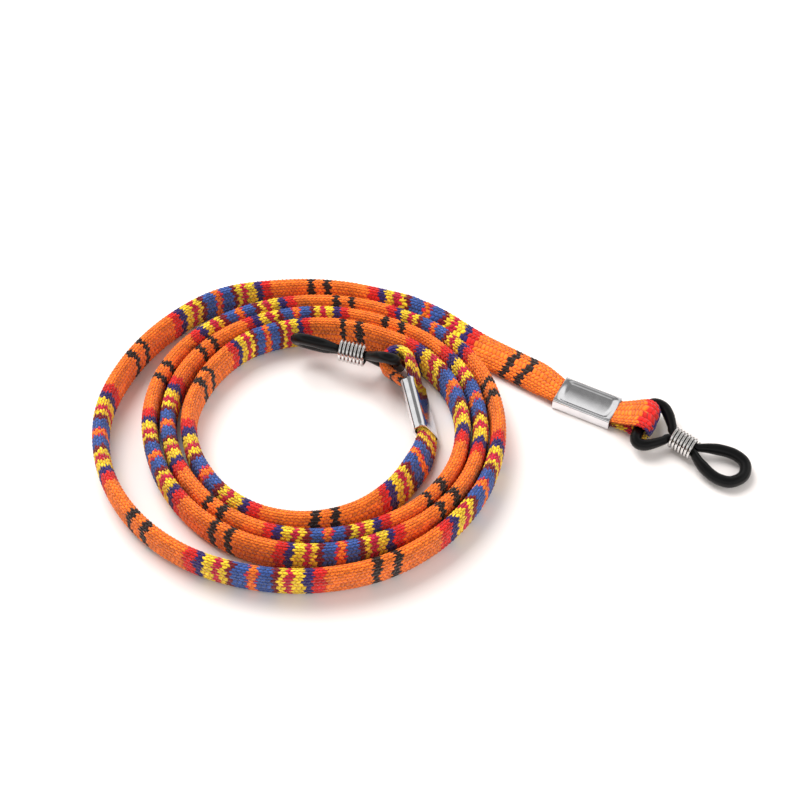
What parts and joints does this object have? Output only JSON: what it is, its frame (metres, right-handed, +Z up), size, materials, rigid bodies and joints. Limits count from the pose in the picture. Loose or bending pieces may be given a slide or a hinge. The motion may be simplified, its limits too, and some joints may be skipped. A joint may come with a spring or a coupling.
{
  "type": "eyeglass retainer strap",
  "caption": "Flat woven neck strap wound loosely on its edge, with a folded eye, metal crimp, rubber temple loop and wire slider at each end.",
  "frame": {"origin": "middle of the whole object's box, on the surface it lies on", "axes": "+Z up from the surface, +X from the wound turns towards the outer end, +Y away from the viewer"},
  "size_m": [0.1111, 0.0659, 0.0102],
  "materials": {
    "woven_strap": "chunky flat braid in orange with dark bars and red, navy, yellow, crimson and blue stripes",
    "crimp_metal": "polished stainless sheet",
    "loop_rubber": "smooth glossy black rubber cord",
    "slider_wire": "bright nickel plated wire"
  },
  "bodies": {
    "strap": {"woven_strap": "woven_strap", "outer_strap_eye": "woven_strap", "inner_strap_eye": "woven_strap", "outer_crimp": "crimp_metal", "inner_crimp": "crimp_metal"},
    "outer_loop": {"outer_rubber_loop": "loop_rubber"},
    "outer_slide": {"outer_slider": "slider_wire"},
    "inner_loop": {"inner_rubber_loop": "loop_rubber"},
    "inner_slide": {"inner_slider": "slider_wire"}
  },
  "joints": [
    {"name": "outer_loop_swing", "type": "hinge", "parent": "strap", "child": "outer_loop", "pos_m": [0.03791, 0.00422, 0.00272], "axis": [0.3912, 0.9202, 0.0157], "range_deg": [-75, 0]},
    {"name": "outer_slider_slide", "type": "slide", "parent": "outer_loop", "child": "outer_slide", "axis": [0.807, -0.5864, -0.0698], "range_m": [0, 0.003], "deforming": ["outer_rubber_loop"]},
    {"name": "inner_loop_swing", "type": "hinge", "parent": "strap", "child": "inner_loop", "pos_m": [-0.00457, 0.01294, 0.00532], "axis": [0.0873, 0.5685, -0.818], "range_deg": [-10, 34]},
    {"name": "inner_slider_slide", "type": "slide", "parent": "inner_loop", "child": "inner_slide", "axis": [-0.973, 0.2246, 0.0523], "range_m": [0, 0.003], "deforming": ["inner_rubber_loop"]}
  ]
}
